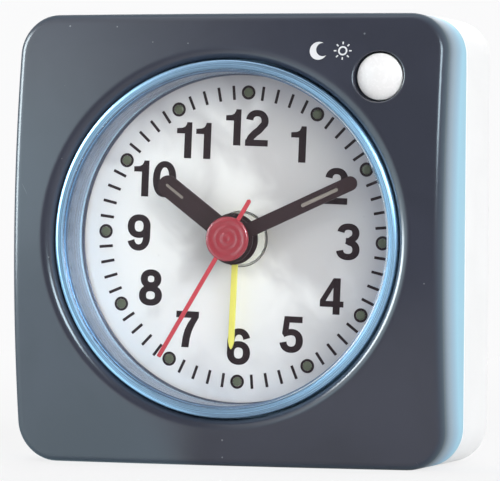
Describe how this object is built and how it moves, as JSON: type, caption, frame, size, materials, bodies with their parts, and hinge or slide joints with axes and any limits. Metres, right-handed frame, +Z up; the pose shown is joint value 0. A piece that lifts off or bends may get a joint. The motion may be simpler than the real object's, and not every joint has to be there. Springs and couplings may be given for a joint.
{
  "type": "travel alarm clock",
  "caption": "Small square travel alarm clock with a bowed face, round dial in a deep ring, hands, snooze button and the quartz and alarm work inside.",
  "frame": {"origin": "middle of the overall box, on the surface that the clock stands on", "axes": "+X is to the viewer's right as the dial is read, +Y runs from the dial to the back, +Z is up"},
  "size_m": [0.0622, 0.0319, 0.0629],
  "materials": {
    "front_paint": "metallic paint, slate on the face and light blue on the sides",
    "white_plastic": "fine satin moulding",
    "screw_steel": "zinc plated",
    "ring_metallic": "metallised light blue, smooth",
    "clear_plastic": "clear, polished",
    "dial_silver": "silver, printed, soft radial sheen",
    "hand_yellow": "pale yellow lacquer",
    "hand_dark": "dark brown lacquer with a luminous line",
    "hand_red": "red lacquer",
    "spring_steel": "nickel plated",
    "black_resin": "black resin",
    "natural_plastic": "natural moulding",
    "wheel_plastic": "natural moulding, fine",
    "magnet": "sintered magnet",
    "grey_plastic": "fine matt moulding",
    "soft_iron": "annealed iron",
    "copper_wire": "lacquered copper wire",
    "board_green": "lacquered circuit board",
    "crystal_can": "drawn metal can",
    "lamp_clear": "clear glass bulb",
    "brass": "rolled brass",
    "battery_jacket": "printed jacket, bare"
  },
  "bodies": {
    "case": {"front_shell": "front_paint", "rear_shell": "white_plastic", "case_screw_top_right": "screw_steel", "case_screw_top_left": "screw_steel", "case_screw_low_left": "screw_steel", "case_screw_low_right": "screw_steel", "bezel_ring": "ring_metallic", "lens": "clear_plastic", "dial": "dial_silver", "snooze_spring": "spring_steel", "snooze_switch": "black_resin", "movement_tray": "natural_plastic", "movement_bridge": "natural_plastic", "movement_cover": "natural_plastic", "stator_plate": "soft_iron", "coil_bobbin": "natural_plastic", "coil_winding": "copper_wire", "circuit_board": "board_green", "control_chip": "black_resin", "quartz_crystal": "crystal_can", "dial_lamp": "lamp_clear", "switch_contact": "spring_steel", "buzzer_disc": "brass", "battery": "battery_jacket", "battery_contact_positive": "spring_steel", "battery_contact_negative": "spring_steel"},
    "seconds": {"second_hand": "hand_red", "second_wheel": "wheel_plastic"},
    "fifth": {"fifth_wheel": "wheel_plastic"},
    "motor": {"rotor": "magnet"},
    "third": {"third_wheel": "wheel_plastic"},
    "centre": {"centre_wheel": "wheel_plastic"},
    "minutes": {"minute_hand": "hand_dark", "cannon_pinion": "wheel_plastic"},
    "motion": {"motion_wheel": "wheel_plastic"},
    "hours": {"hour_hand": "hand_dark", "hour_wheel": "wheel_plastic"},
    "time_setting": {"time_set_arbor": "wheel_plastic", "time_set_knob": "grey_plastic"},
    "alarm": {"alarm_hand": "hand_yellow", "alarm_wheel": "wheel_plastic"},
    "alarm_setting": {"alarm_set_arbor": "wheel_plastic", "alarm_set_knob": "grey_plastic"},
    "snooze": {"snooze_button": "white_plastic"},
    "switch": {"alarm_switch": "grey_plastic"},
    "door": {"battery_door": "white_plastic"}
  },
  "joints": [
    {"name": "second_turn", "type": "hinge", "parent": "case", "child": "seconds", "pos_m": [0, 0, 0.03155], "axis": [0, 1, 0], "continuous": true},
    {"name": "fifth_turn", "type": "hinge", "parent": "case", "child": "fifth", "pos_m": [-0.00259, 0, 0.03865], "axis": [0, 1, 0], "continuous": true},
    {"name": "rotor_turn", "type": "hinge", "parent": "case", "child": "motor", "pos_m": [-0.00808, 0, 0.04209], "axis": [0, 1, 0], "continuous": true},
    {"name": "third_turn", "type": "hinge", "parent": "case", "child": "third", "pos_m": [-0.00972, 0, 0.03155], "axis": [0, 1, 0], "continuous": true},
    {"name": "centre_turn", "type": "hinge", "parent": "case", "child": "centre", "pos_m": [0, 0, 0.03155], "axis": [0, 1, 0], "continuous": true},
    {"name": "minute_turn", "type": "hinge", "parent": "case", "child": "minutes", "pos_m": [0, 0, 0.03155], "axis": [0, 1, 0], "continuous": true},
    {"name": "motion_turn", "type": "hinge", "parent": "case", "child": "motion", "pos_m": [0.00674, 0, 0.03155], "axis": [0, 1, 0], "continuous": true},
    {"name": "hour_turn", "type": "hinge", "parent": "case", "child": "hours", "pos_m": [0, 0, 0.03155], "axis": [0, 1, 0], "continuous": true},
    {"name": "time_set_turn", "type": "hinge", "parent": "case", "child": "time_setting", "pos_m": [0.01053, 0, 0.02498], "axis": [0, 1, 0], "continuous": true},
    {"name": "alarm_turn", "type": "hinge", "parent": "case", "child": "alarm", "pos_m": [0, 0, 0.03155], "axis": [0, 1, 0], "continuous": true},
    {"name": "alarm_set_turn", "type": "hinge", "parent": "case", "child": "alarm_setting", "pos_m": [0.00745, 0, 0.039], "axis": [0, 1, 0], "continuous": true},
    {"name": "snooze_press", "type": "slide", "parent": "case", "child": "snooze", "axis": [0, 1, 0], "range_m": [0, 0.0012], "stiffness_N_per_m": 600, "springref_m": -0.0008, "deforming": ["snooze_spring"]},
    {"name": "alarm_switch_slide", "type": "slide", "parent": "case", "child": "switch", "axis": [0, 0, 1], "range_m": [0, 0.003]},
    {"name": "battery_door_off", "type": "slide", "parent": "case", "child": "door", "axis": [0, 1, 0], "range_m": [0, 0.022]}
  ],
  "couplings": [
    {"joint": "fifth_turn", "follows": "second_turn", "ratio": -6},
    {"joint": "rotor_turn", "follows": "second_turn", "ratio": 30},
    {"joint": "third_turn", "follows": "second_turn", "ratio": -0.13333},
    {"joint": "centre_turn", "follows": "second_turn", "ratio": 0.016667},
    {"joint": "motion_turn", "follows": "minute_turn", "ratio": -0.33333},
    {"joint": "hour_turn", "follows": "minute_turn", "ratio": 0.083333},
    {"joint": "time_set_turn", "follows": "minute_turn", "ratio": 0.66667},
    {"joint": "alarm_set_turn", "follows": "alarm_turn", "ratio": -1}
  ]
}
